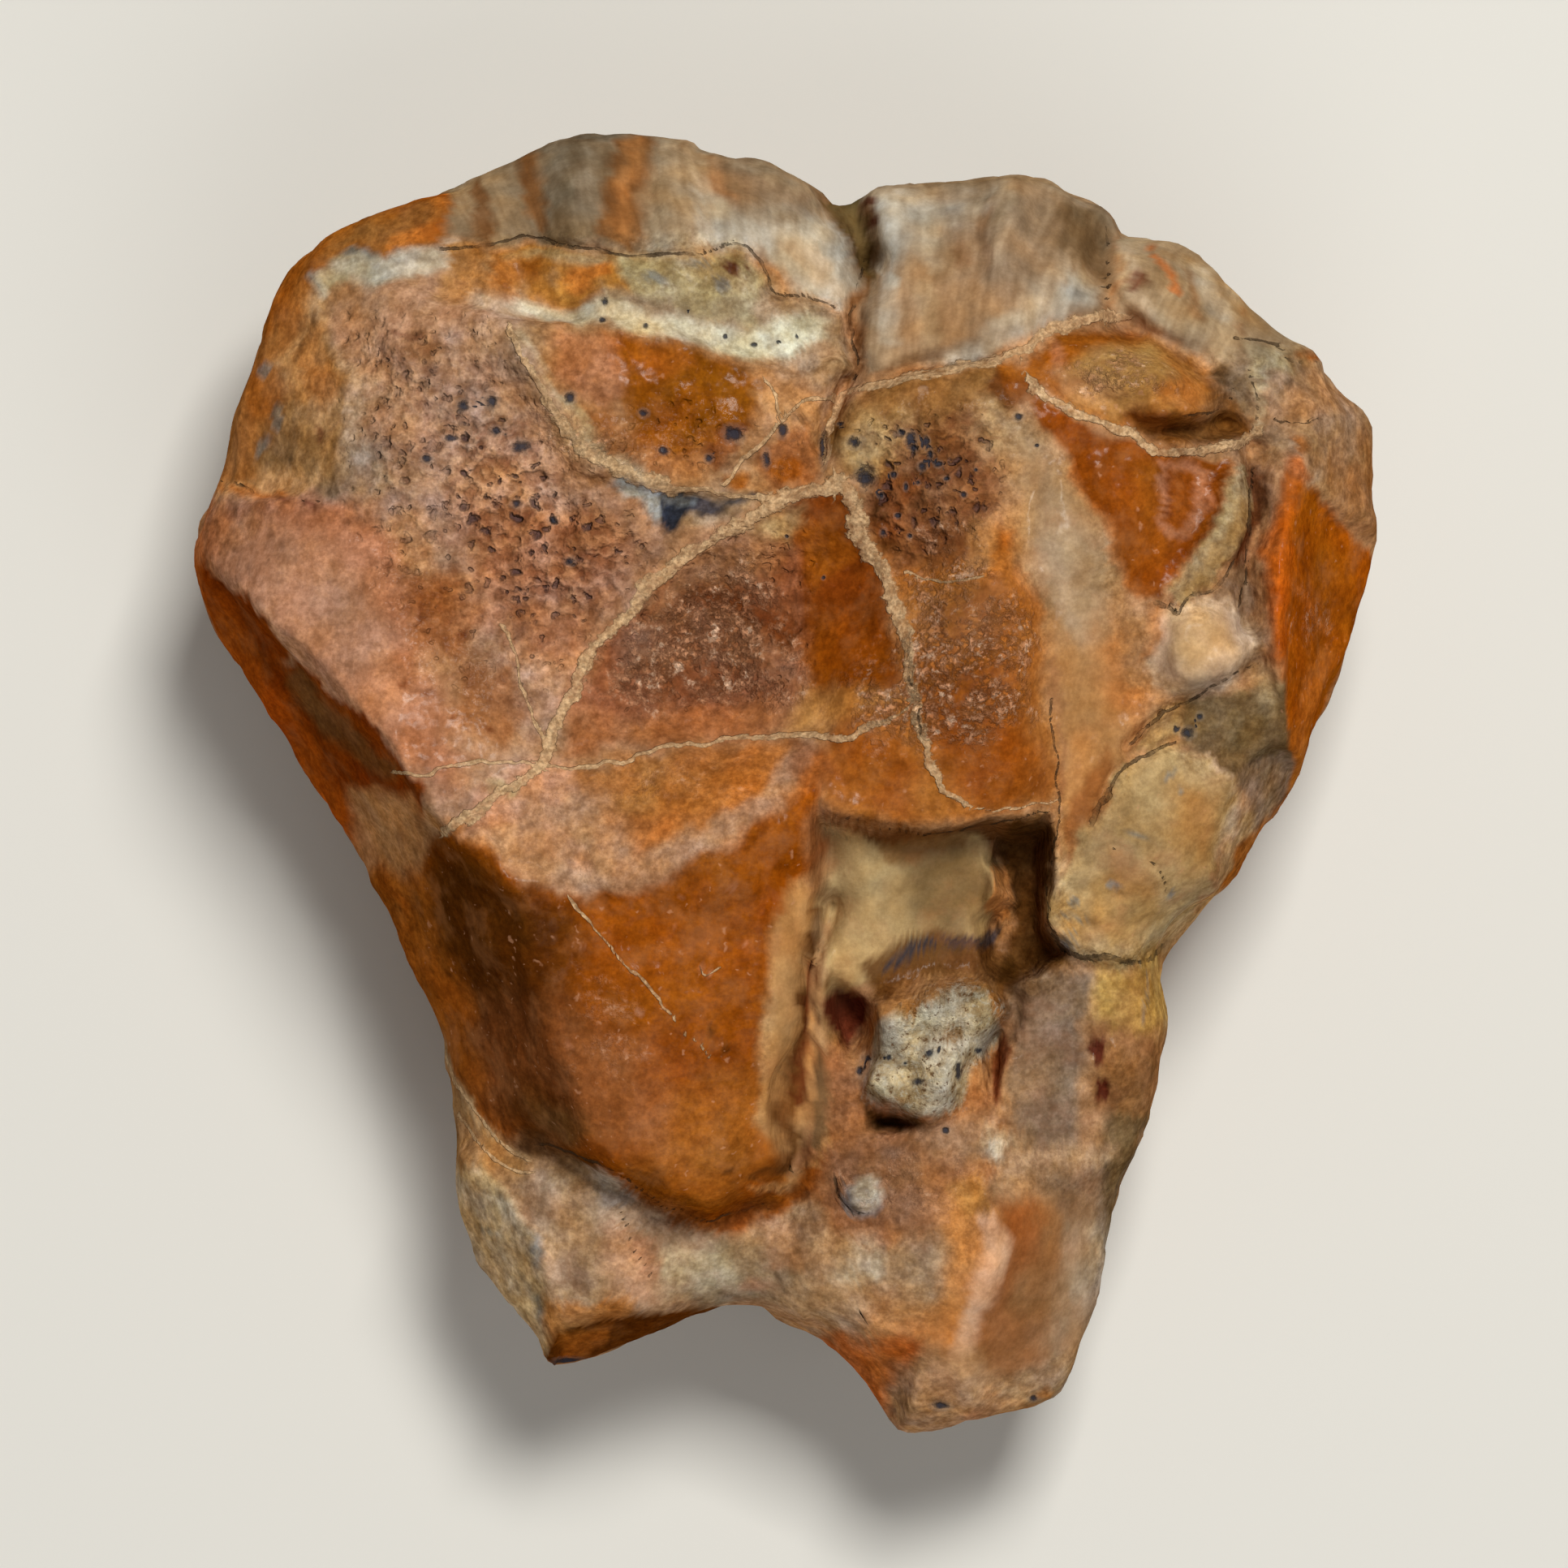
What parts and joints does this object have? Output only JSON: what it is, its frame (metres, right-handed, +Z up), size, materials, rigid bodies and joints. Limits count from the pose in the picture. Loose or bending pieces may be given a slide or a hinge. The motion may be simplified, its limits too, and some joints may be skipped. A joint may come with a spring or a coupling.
{
  "type": "fossil ouranosaurus tooth",
  "caption": "Fossil dinosaur tooth lying on its back: a broad lumpy crown with a fluted crest, cracked plates and a short broken root.",
  "frame": {"origin": "centre of the bounding box on the surface that the tooth lies on", "axes": "+Y from the broken root to the fluted crest, +X to the right seen from the front face, +Z up out of the front face"},
  "size_m": [0.0292, 0.0322, 0.0146],
  "materials": {
    "fossil_enamel": "half-polished orange-brown and beige fossil with filled cracks"
  },
  "bodies": {
    "root": {"tooth": "fossil_enamel"}
  },
  "joints": []
}
